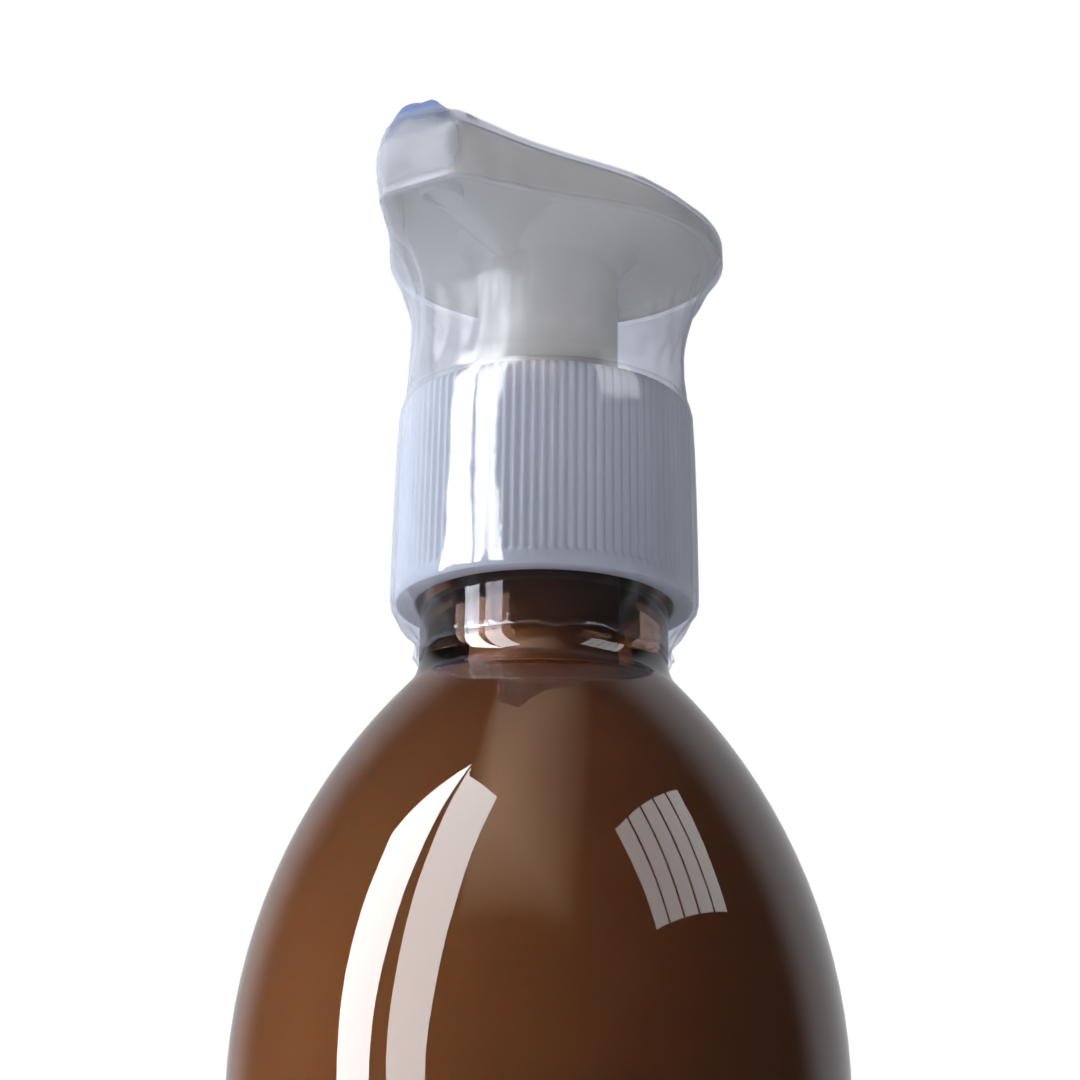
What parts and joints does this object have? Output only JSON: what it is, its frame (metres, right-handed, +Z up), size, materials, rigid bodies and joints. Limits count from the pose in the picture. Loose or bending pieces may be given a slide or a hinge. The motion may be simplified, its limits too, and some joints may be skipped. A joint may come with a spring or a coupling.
{
  "type": "pump oil bottle",
  "caption": "Round amber glass oil bottle with a domed shoulder, ribbed white screw closure and a lotion pump whose leaf-shaped head is sealed in clear shrink film.",
  "frame": {"origin": "centre of the bottle's base, on the surface that it stands on", "axes": "+Z up along the bottle's axis, -Y along the nozzle at rest, +X to the right of someone who faces the nozzle"},
  "size_m": [0.0654, 0.0654, 0.1791],
  "materials": {
    "amber_glass": "gloss, brown-amber, full of oil",
    "white_pp": "moulded satin white polypropylene",
    "natural_pp": "natural, milky polypropylene",
    "natural_pe": "natural, milky polyethylene",
    "foam": "white foamed washer",
    "spring_steel": "drawn stainless wire",
    "valve_ball": "polished stainless ball",
    "clear_film": "clear glossy heat-shrunk film"
  },
  "bodies": {
    "bottle": {"bottle": "amber_glass"},
    "pump_body": {"pump_housing": "natural_pp", "chaplet": "white_pp", "gasket": "foam", "dip_tube": "natural_pe", "ball_cage": "natural_pp", "return_spring": "spring_steel"},
    "closure": {"closure": "white_pp", "shrink_film": "clear_film"},
    "plunger": {"piston": "natural_pe"},
    "head": {"pump_head": "white_pp", "stem": "white_pp"},
    "inlet_valve": {"inlet_ball": "valve_ball"},
    "outlet_valve": {"outlet_ball": "valve_ball"}
  },
  "joints": [
    {"name": "pump_rise", "type": "slide", "parent": "bottle", "child": "pump_body", "axis": [0, 0, 1], "range_m": [0, 0.0064]},
    {"name": "closure_turn", "type": "hinge", "parent": "pump_body", "child": "closure", "pos_m": [0, 0, 0.14], "axis": [0, 0, 1], "range_deg": [0, 540]},
    {"name": "pump_stroke", "type": "slide", "parent": "pump_body", "child": "plunger", "axis": [0, 0, -1], "range_m": [0, 0.012], "stiffness_N_per_m": 700, "deforming": ["return_spring", "shrink_film"]},
    {"name": "head_turn", "type": "hinge", "parent": "plunger", "child": "head", "pos_m": [0, 0, 0.17], "axis": [0, 0, 1], "continuous": true},
    {"name": "inlet_ball_lift", "type": "slide", "parent": "pump_body", "child": "inlet_valve", "axis": [0, 0, 1], "range_m": [0, 0.0015]},
    {"name": "outlet_ball_lift", "type": "slide", "parent": "head", "child": "outlet_valve", "axis": [0, 0, 1], "range_m": [0, 0.0015]}
  ],
  "couplings": [
    {"joint": "pump_rise", "follows": "closure_turn", "m_per_rad": 0.00067376}
  ]
}
